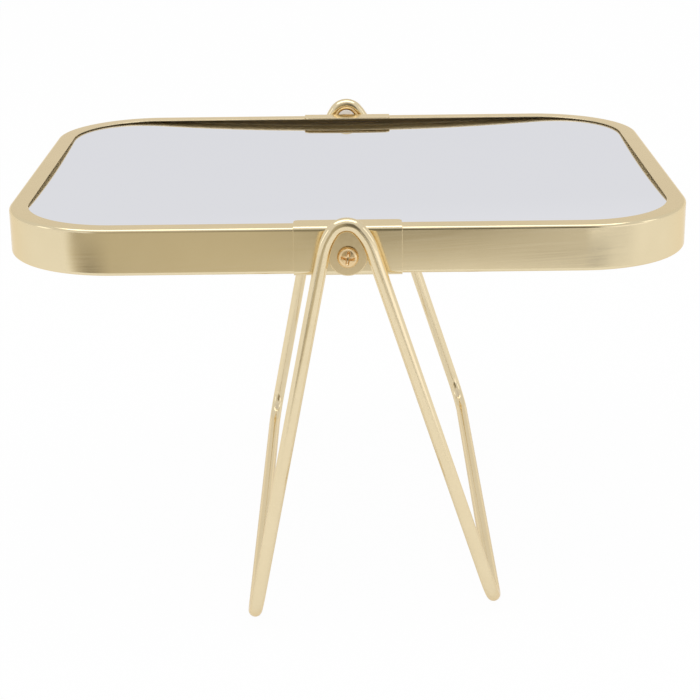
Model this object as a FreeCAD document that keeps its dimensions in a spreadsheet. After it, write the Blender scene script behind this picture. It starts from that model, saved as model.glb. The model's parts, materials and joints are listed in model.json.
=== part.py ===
import FreeCAD, Part
import math
import os
from types import SimpleNamespace

import Sketcher

# A tabletop makeup mirror: a two-sided mirror head that turns between the arches of a bent-wire stand.
# Frame of the part: +Z up, +Y along the pivot axis to the rear, origin on the table under the pivots.
# Lengths are in millimetres and angles in degrees.
DRIVING_SIZES = {
    # Mirror head: outline of the band, its roll-formed channel and the pose it is left in
    "frame_length": 200,
    "frame_width": 160,
    "frame_height": 13.5,
    "corner_radius": 33.5,
    "channel_wall": 0.4,
    "lip_width": 5.6,
    "bend_radius": 1.0,
    "rest_tilt": 3.5,
    # Sleeves that cover the two joints of the band
    "sleeve_length": 30.6,
    "sleeve_wall": 0.4,
    "sleeve_lip": 7.6,
    "sleeve_gap": 0.05,
    "sleeve_corner_radius": 1.5,
    # Nut plates inside the channel
    "nut_plate_length": 24,
    "nut_plate_height": 9,
    "nut_plate_thickness": 1.6,
    "nut_plate_corner_radius": 1,
    # Glass and filling
    "glass_gap": 0.2,
    "glass_chamfer": 0.4,
    "magnifier_thickness": 2,
    "magnifier_radius": 2800,
    "plain_thickness": 3,
    "pad_side": 16,
    # Pivots
    "pivot_height": 111.7,
    "screw_radius": 1.5,
    "screw_clearance": 0.1,
    "thread_clearance": 0.05,
    "thread_end_gap": 0.2,
    "head_radius": 3,
    "head_height": 1.8,
    "head_round": 1.4,
    "recess_span": 4.2,
    "recess_width": 1.0,
    "recess_depth": 1.2,
    "screw_turn": 8,
    "bush_radius": 5,
    "bush_length": 3.7,
    "washer_thickness": 0.5,
    "disc_radius": 5.5,
    "disc_thickness": 1.6,
    "disc_round": 0.3,
    "disc_bite": 0.4,
    "running_gap": 0.1,
    # Wire stand
    "wire_radius": 2,
    "wire_setback": 0.3,
    "foot_spread": 71.9,
    "crown_radius": 4.8,
    "crown_rise": 4.6,
    "shoulder_radius": 16,
    "shoulder_start": 40,
    "foot_bend_radius": 10,
    # How far a cutting shape runs past what it cuts
    "overrun": 2,
}

# An edge counts as straight along an axis when its other extents are below this share of it.
FLAT_SHARE = 0.01

# Pieces that come in pairs are modelled on the first side and turned half round for the second.
FRONT_AND_REAR = (("front", False), ("rear", True))
LEFT_AND_RIGHT = (("left", False), ("right", True))


class Size:
    """A number with the sheet expression that gives it, so that sums of sizes stay bound to the sheet."""

    def __init__(self, text, value):
        self.text = text
        self.value = value

    def _joined(self, sign, other, value):
        return Size(f"({self.text} {sign} {other.text})", value)

    def __add__(self, other):
        return self._joined("+", other, self.value + other.value)

    def __sub__(self, other):
        return self._joined("-", other, self.value - other.value)

    def __neg__(self):
        return Size(f"(-1 * {self.text})", -self.value)

    def __mul__(self, factor):
        return Size(f"({self.text} * {factor})", self.value * factor)

    def __truediv__(self, divisor):
        return Size(f"({self.text} / {divisor})", self.value / divisor)


ZERO = Size("0", 0)


def leg_of_triangle(longest, other):
    """Third side of a right triangle with the given longest side."""
    value = math.sqrt(longest.value ** 2 - other.value ** 2)
    return Size(f"sqrt({longest.text} ^ 2 - {other.text} ^ 2)", value)


def longest_of_triangle(first, second):
    """Longest side of a right triangle with the two given sides."""
    return Size(f"sqrt({first.text} ^ 2 + {second.text} ^ 2)", math.hypot(first.value, second.value))


doc = FreeCAD.newDocument("makeup_mirror")
sheet = doc.addObject("Spreadsheet::Sheet", "dims")
for row, (alias, number) in enumerate(DRIVING_SIZES.items(), start=1):
    sheet.set(f"A{row}", alias)
    sheet.set(f"B{row}", str(number))
    sheet.setAlias(f"B{row}", alias)
doc.recompute()
dims = SimpleNamespace(**{alias: Size(f"dims.{alias}", sheet.get(alias)) for alias in DRIVING_SIZES})

# Places that several pieces share, measured in the mirror head's own frame, whose origin is on the
# pivot axis at the middle of the head. Distances along Y are taken outwards from the middle.
half_length = dims.frame_length / 2
half_width = dims.frame_width / 2
half_height = dims.frame_height / 2
channel_floor = half_width - dims.channel_wall
channel_roof = half_height - dims.channel_wall
sleeve_inside = half_width + dims.sleeve_gap
sleeve_outside = sleeve_inside + dims.sleeve_wall
bush_end = sleeve_outside + dims.bush_length
washer_start = bush_end + dims.running_gap
disc_back = washer_start + dims.washer_thickness
disc_front = disc_back + dims.disc_thickness
wire_plane = disc_back + dims.wire_setback + dims.wire_radius
head_seat = disc_front + dims.running_gap
head_top = head_seat + dims.head_height
nut_plate_inside = channel_floor - dims.nut_plate_thickness
screw_hole = dims.screw_radius + dims.screw_clearance

# The glasses and the filling share one outline, which stays clear of the nut plates.
glass_inset = dims.channel_wall + dims.nut_plate_thickness + dims.glass_gap
glass_half_length = half_length - glass_inset
glass_half_width = half_width - glass_inset
glass_corner_radius = dims.corner_radius - glass_inset
corner_centre_x = glass_half_length - glass_corner_radius
corner_centre_y = glass_half_width - glass_corner_radius

# The concave face is part of a sphere that comes up to the lip at the four corners only.
corner_reach = longest_of_triangle(corner_centre_x, corner_centre_y) + glass_corner_radius
sphere_height = channel_roof - dims.glass_gap + leg_of_triangle(dims.magnifier_radius, corner_reach)
back_radius = dims.magnifier_radius + dims.magnifier_thickness
plain_bottom = dims.glass_gap - channel_roof
plain_top = plain_bottom + dims.plain_thickness
board_bottom = plain_top + dims.glass_gap
board_top = sphere_height - back_radius - dims.glass_gap


def bind(target, settings):
    """Bind each named property of an object to the expression of its size."""
    for name, size in settings.items():
        target.setExpression(name, size.text)


def half_turn(turned):
    """Sheet expression of half a turn about Z, or of no turn."""
    return f"rotation(vector(0; 0; 1); {180 if turned else 0})"


def set_on_pivot(piece, turned=False, spin=ZERO):
    """Carry a piece from the head's frame to its place: spun on the pivot axis, turned half round, tilted."""
    steps = [
        f"rotation(vector(0; 1; 0); {dims.rest_tilt.text})",
        half_turn(turned),
        f"rotation(vector(0; 1; 0); {spin.text})",
    ]
    base = f"vector(0; 0; {dims.pivot_height.text})"
    piece.setExpression("Placement", f"placement({base}; {' * '.join(steps)})")


def set_on_stand(piece, turned):
    """Carry a piece that stays with the stand to the pivot height, turned half round where asked."""
    base = f"vector(0; 0; {dims.pivot_height.text})"
    piece.setExpression("Placement", f"placement({base}; {half_turn(turned)})")


def new_body(label):
    body = doc.addObject("PartDesign::Body", label)
    body.Label = label
    return body


def new_sketch(body, role, offset=None):
    """Sketch on one of the body's own origin planes, moved along the plane's normal where asked."""
    sketch = body.newObject("Sketcher::SketchObject", f"{body.Name}_sketch")
    plane = next(item for item in body.Origin.OriginFeatures if item.Role == role)
    sketch.AttachmentSupport = [(plane, "")]
    sketch.MapMode = "FlatFace"
    if offset:
        bind(sketch, {"AttachmentOffset.Base.z": offset})
    return sketch


def limit(sketch, kind, elements, size):
    """Add a driving constraint and bind it to its size."""
    number = sketch.addConstraint(Sketcher.Constraint(kind, *elements, size.value))
    sketch.setExpression(f"Constraints[{number}]", size.text)


def draw_outline(sketch, corners):
    """Closed outline of level and upright lines. A corner is (x, y), or (x, y, radius) where rounded."""
    count = len(corners)
    places = [FreeCAD.Vector(corner[0].value, corner[1].value, 0) for corner in corners]
    radii = [corner[2] if len(corner) > 2 else None for corner in corners]
    starts, ends, arcs = [], [], []
    for index, place in enumerate(places):
        before = (place - places[index - 1]).normalize()
        after = (places[(index + 1) % count] - place).normalize()
        reach = radii[index].value if radii[index] else 0
        ends.append(place - before * reach)
        starts.append(place + after * reach)
        arcs.append((place + (after - before) * reach, before.cross(after).z > 0))

    lines = []
    for index in range(count):
        following = (index + 1) % count
        line = sketch.addGeometry(Part.LineSegment(starts[index], ends[following]))
        level = abs(places[index].y - places[following].y) < abs(places[index].x - places[following].x)
        sketch.addConstraint(Sketcher.Constraint("Horizontal" if level else "Vertical", line))
        kind, size = ("DistanceY", corners[index][1]) if level else ("DistanceX", corners[index][0])
        limit(sketch, kind, (-1, 1, line, 1), size)
        lines.append(line)

    for index in range(count):
        incoming, outgoing = lines[index - 1], lines[index]
        if not radii[index]:
            sketch.addConstraint(Sketcher.Constraint("Coincident", incoming, 2, outgoing, 1))
            continue
        centre, turns_left = arcs[index]
        first, last = (ends[index], starts[index]) if turns_left else (starts[index], ends[index])
        circle = Part.Circle(centre, FreeCAD.Vector(0, 0, 1), radii[index].value)
        arc = sketch.addGeometry(Part.ArcOfCircle(circle, circle.parameter(first), circle.parameter(last)))
        sketch.addConstraint(Sketcher.Constraint("Tangent", incoming, 2, arc, 1 if turns_left else 2))
        sketch.addConstraint(Sketcher.Constraint("Tangent", outgoing, 1, arc, 2 if turns_left else 1))
        limit(sketch, "Radius", (arc,), radii[index])


def draw_rectangle(sketch, half_x, half_y, radius):
    """Rectangle about the sketch's origin with rounded corners."""
    sides = [(-half_x, -half_y), (half_x, -half_y), (half_x, half_y), (-half_x, half_y)]
    draw_outline(sketch, [(x, y, radius) for x, y in sides])


def draw_circle(sketch, radius):
    """Circle about the sketch's origin."""
    circle = Part.Circle(FreeCAD.Vector(0, 0, 0), FreeCAD.Vector(0, 0, 1), radius.value)
    number = sketch.addGeometry(circle)
    sketch.addConstraint(Sketcher.Constraint("Coincident", number, 3, -1, 1))
    limit(sketch, "Radius", (number,), radius)


def pad(body, sketch, length, both_ways=False):
    feature = body.newObject("PartDesign::Pad", f"{body.Name}_pad")
    feature.Profile = sketch
    feature.SideType = "Symmetric" if both_ways else "One side"
    bind(feature, {"Length": length})
    return feature


def cut_through(body, sketch):
    """Cut the sketch's shape through the whole body, on both sides of the sketch."""
    feature = body.newObject("PartDesign::Pocket", f"{body.Name}_cut")
    feature.Profile = sketch
    feature.Type = "ThroughAll"
    feature.SideType = "Symmetric"
    return feature


def revolve(body, sketch):
    """Turn the sketch once round its own upright axis."""
    feature = body.newObject("PartDesign::Revolution", f"{body.Name}_turn")
    feature.Profile = sketch
    feature.ReferenceAxis = (sketch, ["V_Axis"])
    feature.Angle = 360
    return feature


def make_wire_path():
    """Front half of the stand's centre line: runner, foot bend, leg, shoulder and crown, and back down."""
    wire, bend, shoulder = dims.wire_radius.value, dims.foot_bend_radius.value, dims.shoulder_radius.value
    foot_x = dims.foot_spread.value / 2
    front = -wire_plane.value
    # A shoulder's wider arc runs on from the crown's, so its centre lies beyond the crown's centre.
    crown_centre = (dims.pivot_height + dims.crown_rise).value
    shoulder_start = math.radians(dims.shoulder_start.value)
    centres_apart = (dims.shoulder_radius - dims.crown_radius).value
    shoulder_x = -centres_apart * math.cos(shoulder_start)
    shoulder_z = crown_centre - centres_apart * math.sin(shoulder_start)
    # The leg leans so far that it touches the shoulder's arc.
    across, drop = foot_x - shoulder_x, shoulder_z - wire
    lean = math.atan2(across, drop) - math.asin(shoulder / math.hypot(across, drop))

    def half(side):
        along_leg = FreeCAD.Vector(side * math.sin(lean), 0, -math.cos(lean))
        inwards = FreeCAD.Vector(0, 1, 0)
        foot = FreeCAD.Vector(side * foot_x, front, wire)

        def on_shoulder(angle):
            reach_x = shoulder_x + shoulder * math.cos(angle)
            return FreeCAD.Vector(side * reach_x, front, shoulder_z + shoulder * math.sin(angle))

        bend_centre = foot + (inwards - along_leg) * bend
        bend_middle = bend_centre + (along_leg - inwards).normalize() * bend
        return {
            "runner": FreeCAD.Vector(side * foot_x, 0, wire),
            "bend_low": foot + inwards * bend,
            "bend_middle": bend_middle,
            "bend_high": foot - along_leg * bend,
            "shoulder_low": on_shoulder(lean),
            "shoulder_middle": on_shoulder((lean + shoulder_start) / 2),
            "shoulder_high": on_shoulder(shoulder_start),
        }

    left, right = half(-1), half(1)
    crown = FreeCAD.Vector(0, front, crown_centre + dims.crown_radius.value)
    edges = [
        Part.LineSegment(left["runner"], left["bend_low"]),
        Part.Arc(left["bend_low"], left["bend_middle"], left["bend_high"]),
        Part.LineSegment(left["bend_high"], left["shoulder_low"]),
        Part.Arc(left["shoulder_low"], left["shoulder_middle"], left["shoulder_high"]),
        Part.Arc(left["shoulder_high"], crown, right["shoulder_high"]),
        Part.Arc(right["shoulder_high"], right["shoulder_middle"], right["shoulder_low"]),
        Part.LineSegment(right["shoulder_low"], right["bend_high"]),
        Part.Arc(right["bend_high"], right["bend_middle"], right["bend_low"]),
        Part.LineSegment(right["bend_low"], right["runner"]),
    ]
    path = doc.addObject("Part::Feature", "stand_path")
    path.Shape = Part.Wire([edge.toShape() for edge in edges])
    return path


def make_wire_stand():
    """The closed loop of wire: the front half swept along its path, mirrored and joined."""
    path = make_wire_path()
    section = doc.addObject("Part::Circle", "wire_section")
    bind(section, {"Radius": dims.wire_radius})
    facing_rear = FreeCAD.Rotation(FreeCAD.Vector(0, 0, 1), FreeCAD.Vector(0, 1, 0))
    section.Placement = FreeCAD.Placement(path.Shape.Vertexes[0].Point, facing_rear)
    front = doc.addObject("Part::Sweep", "stand_front")
    front.Sections = [section]
    front.Spine = (path, [f"Edge{number}" for number in range(1, len(path.Shape.Edges) + 1)])
    front.Solid = True
    front.Frenet = False
    rear = doc.addObject("Part::Mirroring", "stand_rear")
    rear.Source = front
    rear.Normal = FreeCAD.Vector(0, 1, 0)
    stand = doc.addObject("Part::Fuse", "wire_stand")
    stand.Base = front
    stand.Tool = rear
    stand.Refine = True
    return stand


def draw_arch_plate(sketch):
    """Drop-shaped outline that fills the arch and bites a little into the wire's inner side."""
    lower = dims.disc_radius
    upper = dims.crown_radius - dims.wire_radius + dims.disc_bite
    rise = dims.crown_rise
    lean = math.asin((lower - upper).value / rise.value)
    upright = FreeCAD.Vector(0, 0, 1)
    pivot, crown = FreeCAD.Vector(0, 0, 0), FreeCAD.Vector(0, rise.value, 0)
    outwards = {side: FreeCAD.Vector(side * math.cos(lean), math.sin(lean), 0) for side in (-1, 1)}
    low_arc = sketch.addGeometry(
        Part.ArcOfCircle(Part.Circle(pivot, upright, lower.value), math.pi - lean, 2 * math.pi + lean)
    )
    high_arc = sketch.addGeometry(
        Part.ArcOfCircle(Part.Circle(crown, upright, upper.value), lean, math.pi - lean)
    )
    right, left = (
        sketch.addGeometry(Part.LineSegment(
            pivot + outwards[side] * lower.value, crown + outwards[side] * upper.value
        ))
        for side in (1, -1)
    )
    joints = [(right, 1, low_arc, 2), (right, 2, high_arc, 1), (left, 1, low_arc, 1), (left, 2, high_arc, 2)]
    for elements in joints:
        sketch.addConstraint(Sketcher.Constraint("Tangent", *elements))
    sketch.addConstraint(Sketcher.Constraint("Coincident", low_arc, 3, -1, 1))
    sketch.addConstraint(Sketcher.Constraint("PointOnObject", high_arc, 3, -2))
    limit(sketch, "DistanceY", (-1, 1, high_arc, 3), rise)
    limit(sketch, "Radius", (low_arc,), lower)
    limit(sketch, "Radius", (high_arc,), upper)


def make_pivot_disc(name, turned, stand):
    """Plate that fills the arch, with its front edge rounded, notched by the wire that it is brazed to."""
    body = new_body(f"{name}_blank")
    outline = new_sketch(body, "XZ_Plane", disc_back)
    draw_arch_plate(outline)
    plate = pad(body, outline, dims.disc_thickness)
    doc.recompute()
    front_edges = [
        f"Edge{number}" for number, edge in enumerate(plate.Shape.Edges, start=1)
        if abs(edge.CenterOfMass.y + disc_front.value) < dims.disc_thickness.value * FLAT_SHARE
    ]
    rounding = body.newObject("PartDesign::Fillet", f"{name}_rounding")
    rounding.Base = (plate, front_edges)
    bind(rounding, {"Radius": dims.disc_round})
    hole = new_sketch(body, "XZ_Plane")
    draw_circle(hole, screw_hole)
    cut_through(body, hole)
    set_on_stand(body, turned)
    disc = doc.addObject("Part::Cut", name)
    disc.Base = body
    disc.Tool = stand
    return disc


def make_screw(name, turned):
    """Pan-head screw with a cross recess, from its head outside the disc to the nut plate."""
    body = new_body(name)
    sketch = new_sketch(body, "XY_Plane")
    tip = nut_plate_inside + dims.thread_end_gap
    draw_outline(sketch, [
        (ZERO, -tip),
        (ZERO, -head_top),
        (dims.head_radius, -head_top, dims.head_round),
        (dims.head_radius, -head_seat),
        (dims.screw_radius, -head_seat),
        (dims.screw_radius, -tip),
    ])
    revolve(body, sketch)
    cross = new_sketch(body, "XZ_Plane", head_top)
    near, far = dims.recess_width / 2, dims.recess_span / 2
    arms = [(far, near), (near, near), (near, far)]
    outline = []
    for sign_x, sign_y, steps in ((1, 1, arms), (-1, 1, arms[::-1]), (-1, -1, arms), (1, -1, arms[::-1])):
        outline += [(x * sign_x, y * sign_y) for x, y in steps]
    draw_outline(cross, outline)
    recess = body.newObject("PartDesign::Pocket", f"{name}_recess")
    recess.Profile = cross
    bind(recess, {"Length": dims.recess_depth})
    set_on_pivot(body, turned, dims.screw_turn)
    return body


def make_bush(name, turned):
    """Metal bush that holds the plate off the sleeve: a ring turned about the pivot axis."""
    body = new_body(name)
    sketch = new_sketch(body, "XY_Plane")
    draw_outline(sketch, [
        (screw_hole, -sleeve_outside),
        (screw_hole, -bush_end),
        (dims.bush_radius, -bush_end),
        (dims.bush_radius, -sleeve_outside),
    ])
    revolve(body, sketch)
    set_on_pivot(body, turned)
    return body


def make_washer(name, turned):
    """Thin plastic washer with the plate's outline, set on the plate's back, that the bush rubs on."""
    body = new_body(name)
    outline = new_sketch(body, "XZ_Plane", washer_start)
    draw_arch_plate(outline)
    draw_circle(outline, screw_hole)
    pad(body, outline, dims.washer_thickness)
    set_on_stand(body, turned)
    return body


def make_sleeve(name, turned):
    """Bent sheet clip over the joint of the band, with rounded lip corners and a screw hole."""
    body = new_body(name)
    sketch = new_sketch(body, "YZ_Plane")
    inner_top = half_height + dims.sleeve_gap
    outer_top = inner_top + dims.sleeve_wall
    lip_edge = dims.sleeve_lip - sleeve_outside
    inner_bend = dims.bend_radius + dims.sleeve_gap
    outer_bend = inner_bend + dims.sleeve_wall
    draw_outline(sketch, [
        (lip_edge, outer_top),
        (-sleeve_outside, outer_top, outer_bend),
        (-sleeve_outside, -outer_top, outer_bend),
        (lip_edge, -outer_top),
        (lip_edge, -inner_top),
        (-sleeve_inside, -inner_top, inner_bend),
        (-sleeve_inside, inner_top, inner_bend),
        (lip_edge, inner_top),
    ])
    clip = pad(body, sketch, dims.sleeve_length, both_ways=True)
    hole = new_sketch(body, "XZ_Plane")
    draw_circle(hole, screw_hole)
    clip = cut_through(body, hole)
    doc.recompute()
    corners = [
        f"Edge{number}" for number, edge in enumerate(clip.Shape.Edges, start=1)
        if edge.BoundBox.XLength + edge.BoundBox.YLength < edge.BoundBox.ZLength * FLAT_SHARE
        and abs(edge.CenterOfMass.y - lip_edge.value) < dims.sleeve_wall.value
    ]
    rounding = body.newObject("PartDesign::Fillet", f"{name}_rounding")
    rounding.Base = (clip, corners)
    bind(rounding, {"Radius": dims.sleeve_corner_radius})
    set_on_pivot(body, turned)
    return body


def make_frame_half(name, turned):
    """Left half of the band: a C-channel swept round two corners, notched at its ends for the screws."""
    body = new_body(name)
    path = new_sketch(body, "XY_Plane")
    path_edges = draw_half_loop(path)
    section = new_sketch(body, "YZ_Plane")
    lip_edge = dims.lip_width - half_width
    inner_bend = dims.bend_radius - dims.channel_wall
    draw_outline(section, [
        (lip_edge, half_height),
        (-half_width, half_height, dims.bend_radius),
        (-half_width, -half_height, dims.bend_radius),
        (lip_edge, -half_height),
        (lip_edge, -channel_roof),
        (-channel_floor, -channel_roof, inner_bend),
        (-channel_floor, channel_roof, inner_bend),
        (lip_edge, channel_roof),
    ])
    doc.recompute()
    channel = body.newObject("PartDesign::AdditivePipe", f"{name}_channel")
    channel.Profile = section
    channel.Spine = (path, path_edges)
    notch = new_sketch(body, "XZ_Plane")
    draw_circle(notch, screw_hole)
    cut_through(body, notch)
    set_on_pivot(body, turned)
    return body


def draw_half_loop(sketch):
    """Open path round the left half of the band's outer face, from the front joint to the rear one."""
    x, y, radius = half_length.value, half_width.value, dims.corner_radius.value
    points = [(0, -y), (radius - x, -y), (-x, radius - y), (-x, y - radius), (radius - x, y), (0, y)]
    places = [FreeCAD.Vector(*point, 0) for point in points]
    upright = FreeCAD.Vector(0, 0, 1)
    front_circle = Part.Circle(FreeCAD.Vector(radius - x, radius - y, 0), upright, radius)
    rear_circle = Part.Circle(FreeCAD.Vector(radius - x, y - radius, 0), upright, radius)
    front = sketch.addGeometry(Part.LineSegment(places[0], places[1]))
    front_corner = sketch.addGeometry(Part.ArcOfCircle(front_circle, math.pi, math.pi * 3 / 2))
    side = sketch.addGeometry(Part.LineSegment(places[2], places[3]))
    rear_corner = sketch.addGeometry(Part.ArcOfCircle(rear_circle, math.pi / 2, math.pi))
    rear = sketch.addGeometry(Part.LineSegment(places[4], places[5]))
    for line, kind in ((front, "Horizontal"), (side, "Vertical"), (rear, "Horizontal")):
        sketch.addConstraint(Sketcher.Constraint(kind, line))
    joints = [
        (front, 2, front_corner, 2), (side, 1, front_corner, 1),
        (side, 2, rear_corner, 2), (rear, 1, rear_corner, 1),
    ]
    for elements in joints:
        sketch.addConstraint(Sketcher.Constraint("Tangent", *elements))
    for corner in (front_corner, rear_corner):
        limit(sketch, "Radius", (corner,), dims.corner_radius)
    limit(sketch, "DistanceY", (-1, 1, front, 1), -half_width)
    limit(sketch, "DistanceX", (-1, 1, side, 1), -half_length)
    limit(sketch, "DistanceY", (-1, 1, rear, 1), half_width)
    limit(sketch, "DistanceX", (-1, 1, front, 1), ZERO)
    limit(sketch, "DistanceX", (-1, 1, rear, 2), ZERO)
    return [f"Edge{number + 1}" for number in (front, front_corner, side, rear_corner, rear)]


def make_nut_plate(name, turned):
    """Threaded plate on the channel's floor that bridges the joint and takes the pivot screw."""
    body = new_body(name)
    sketch = new_sketch(body, "XZ_Plane", nut_plate_inside)
    draw_rectangle(
        sketch, dims.nut_plate_length / 2, dims.nut_plate_height / 2, dims.nut_plate_corner_radius
    )
    draw_circle(sketch, dims.screw_radius + dims.thread_clearance)
    pad(body, sketch, dims.nut_plate_thickness)
    set_on_pivot(body, turned)
    return body


def make_magnifying_mirror():
    """Concave glass of even thickness: a turned dish, cut to the outline of the opening."""
    body = new_body("magnifying_mirror")
    dish = new_sketch(body, "XZ_Plane")
    rim = corner_reach + dims.overrun
    centre = FreeCAD.Vector(0, sphere_height.value, 0)
    arcs = []
    for radius in (dims.magnifier_radius, back_radius):
        circle = Part.Circle(centre, FreeCAD.Vector(0, 0, 1), radius.value)
        downwards = -math.pi / 2
        outwards = downwards + math.asin(rim.value / radius.value)
        arcs.append(dish.addGeometry(Part.ArcOfCircle(circle, downwards, outwards)))
        limit(dish, "Radius", (arcs[-1],), radius)
    face, back = arcs
    axis = dish.addGeometry(Part.LineSegment(
        centre - FreeCAD.Vector(0, dims.magnifier_radius.value, 0),
        centre - FreeCAD.Vector(0, back_radius.value, 0),
    ))
    back_rim = sphere_height - leg_of_triangle(back_radius, rim)
    face_rim = sphere_height - leg_of_triangle(dims.magnifier_radius, rim)
    edge = dish.addGeometry(Part.LineSegment(
        FreeCAD.Vector(rim.value, back_rim.value, 0),
        FreeCAD.Vector(rim.value, face_rim.value, 0),
    ))
    dish.addConstraint(Sketcher.Constraint("Coincident", face, 3, back, 3))
    dish.addConstraint(Sketcher.Constraint("PointOnObject", face, 3, -2))
    limit(dish, "DistanceY", (-1, 1, face, 3), sphere_height)
    for first, second in (((face, 1), (axis, 1)), ((back, 1), (axis, 2)),
                          ((back, 2), (edge, 1)), ((face, 2), (edge, 2))):
        dish.addConstraint(Sketcher.Constraint("Coincident", *first, *second))
    dish.addConstraint(Sketcher.Constraint("PointOnObject", axis, 1, -2))
    dish.addConstraint(Sketcher.Constraint("PointOnObject", axis, 2, -2))
    dish.addConstraint(Sketcher.Constraint("Vertical", edge))
    limit(dish, "DistanceX", (-1, 1, edge, 1), rim)
    revolve(body, dish)
    waste = new_sketch(body, "XY_Plane")
    draw_rectangle(waste, glass_half_length, glass_half_width, glass_corner_radius)
    draw_circle(waste, rim + dims.overrun)
    cut_through(body, waste)
    set_on_pivot(body)
    return body


def make_plate(name, bottom, thickness):
    """Flat plate with the outline of the glass."""
    body = new_body(name)
    sketch = new_sketch(body, "XY_Plane", bottom)
    draw_rectangle(sketch, glass_half_length, glass_half_width, glass_corner_radius)
    plate = pad(body, sketch, thickness)
    set_on_pivot(body)
    return body, plate


def make_plain_mirror():
    """Flat glass on the other side, with its edges ground."""
    body, plate = make_plate("plain_mirror", plain_bottom, dims.plain_thickness)
    doc.recompute()
    rims = [
        f"Edge{number}" for number, edge in enumerate(plate.Shape.Edges, start=1)
        if edge.BoundBox.ZLength < dims.plain_thickness.value * FLAT_SHARE
    ]
    ground = body.newObject("PartDesign::Chamfer", "plain_mirror_ground_edge")
    ground.Base = (plate, rims)
    bind(ground, {"Size": dims.glass_chamfer})
    return body


def make_backing_board():
    """Board that fills the head between the two glasses."""
    body, _ = make_plate("backing_board", board_bottom, board_top - board_bottom)
    return body


def make_corner_pad(name, sign_x, sign_y):
    """Foam block on the board under one corner of the concave glass, shaped to the glass."""
    block = doc.addObject("Part::Box", f"{name}_block")
    bind(block, {
        "Length": dims.pad_side,
        "Width": dims.pad_side,
        "Height": channel_roof - board_top,
        "Placement.Base.x": corner_centre_x * sign_x - dims.pad_side / 2,
        "Placement.Base.y": corner_centre_y * sign_y - dims.pad_side / 2,
        "Placement.Base.z": board_top,
    })
    glass_back = doc.addObject("Part::Sphere", f"{name}_glass_back")
    bind(glass_back, {"Radius": back_radius, "Placement.Base.z": sphere_height})
    pad_piece = doc.addObject("Part::Cut", name)
    pad_piece.Base = block
    pad_piece.Tool = glass_back
    set_on_pivot(pad_piece)
    return pad_piece


wire_stand = make_wire_stand()
pieces = [wire_stand]
for side, turned in FRONT_AND_REAR:
    pieces += [
        make_pivot_disc(f"pivot_disc_{side}", turned, wire_stand),
        make_screw(f"pivot_screw_{side}", turned),
        make_bush(f"pivot_bush_{side}", turned),
        make_washer(f"friction_washer_{side}", turned),
        make_sleeve(f"joint_sleeve_{side}", turned),
        make_nut_plate(f"nut_plate_{side}", turned),
    ]
for side, turned in LEFT_AND_RIGHT:
    pieces.append(make_frame_half(f"frame_half_{side}", turned))
pieces += [make_magnifying_mirror(), make_plain_mirror(), make_backing_board()]
for end, sign_y in (("front", -1), ("rear", 1)):
    for side, sign_x in (("left", -1), ("right", 1)):
        pieces.append(make_corner_pad(f"corner_pad_{end}_{side}", sign_x, sign_y))
doc.recompute()

for item in doc.Objects:
    if "Invalid" in item.State or "Error" in item.State:
        raise RuntimeError(f"{item.Label} could not be computed: {item.State}")
for piece in pieces:
    if piece.Shape.isNull() or not piece.Shape.isValid() or not piece.Shape.Solids:
        raise RuntimeError(f"{piece.Label} has no valid solid")

os.makedirs("parts", exist_ok=True)
for piece in pieces:
    piece.Shape.exportStep(os.path.join("parts", f"{piece.Label}.step"))
    print(f"{piece.Label}: {len(piece.Shape.Solids)} solid, {piece.Shape.Volume:.1f} mm3")
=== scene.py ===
import json
import math

import bmesh
import bpy
from mathutils import Matrix, Vector


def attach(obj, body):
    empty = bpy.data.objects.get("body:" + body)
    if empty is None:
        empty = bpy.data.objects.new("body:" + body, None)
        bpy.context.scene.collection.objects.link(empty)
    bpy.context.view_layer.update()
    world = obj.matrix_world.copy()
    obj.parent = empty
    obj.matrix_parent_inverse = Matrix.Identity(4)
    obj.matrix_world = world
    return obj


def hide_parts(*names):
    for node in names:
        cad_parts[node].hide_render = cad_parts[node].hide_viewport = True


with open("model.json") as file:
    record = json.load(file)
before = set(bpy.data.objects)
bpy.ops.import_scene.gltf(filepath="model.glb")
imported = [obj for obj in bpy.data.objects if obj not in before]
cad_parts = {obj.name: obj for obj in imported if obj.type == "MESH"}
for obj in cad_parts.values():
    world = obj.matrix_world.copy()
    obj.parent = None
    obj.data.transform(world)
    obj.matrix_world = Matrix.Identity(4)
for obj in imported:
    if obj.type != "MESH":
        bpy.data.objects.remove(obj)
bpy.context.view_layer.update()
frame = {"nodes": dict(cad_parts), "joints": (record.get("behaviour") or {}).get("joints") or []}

scene = bpy.context.scene
scene.view_settings.view_transform = "Standard"

# Units and turns
MM = 0.001
QUARTER_TURN = math.pi / 2
HALF_TURN = math.pi
FULL_TURN = math.tau

# The mirror head's own frame: its origin on the pivot axis, tilted as the photograph shows the head
PIVOT = Vector(frame["joints"][0]["pos_m"])
REST_TILT = math.radians(3.5)
HEAD = Matrix.Translation(PIVOT) @ Matrix.Rotation(REST_TILT, 4, "Y")
HEAD_UP = HEAD.to_3x3().col[2]
FRONT_AND_REAR = (("front", 0.0), ("rear", HALF_TURN))
LEFT_AND_RIGHT = (("left", 0.0), ("right", HALF_TURN))

# Camera at the photograph's viewing angle
CAMERA_LENS_MM = 91.379
CAMERA_TARGET = Vector((-0.00329, 0, 0.05533))
CAMERA_DISTANCE = 0.59161
CAMERA_PITCH = math.radians(18.691)
CAMERA_YAW = math.radians(-1.262)
CAMERA_ROLL = math.radians(-4.37)
CAMERA_CLIP = 0.01


# Shader nodes
def empty_tree(name):
    """Material with nothing but an output, whose surface socket is returned with the tree."""
    material = bpy.data.materials.new(name)
    material.use_nodes = True
    tree = material.node_tree
    tree.nodes.clear()
    output = tree.nodes.new("ShaderNodeOutputMaterial")
    return material, tree, output.inputs["Surface"]


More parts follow.
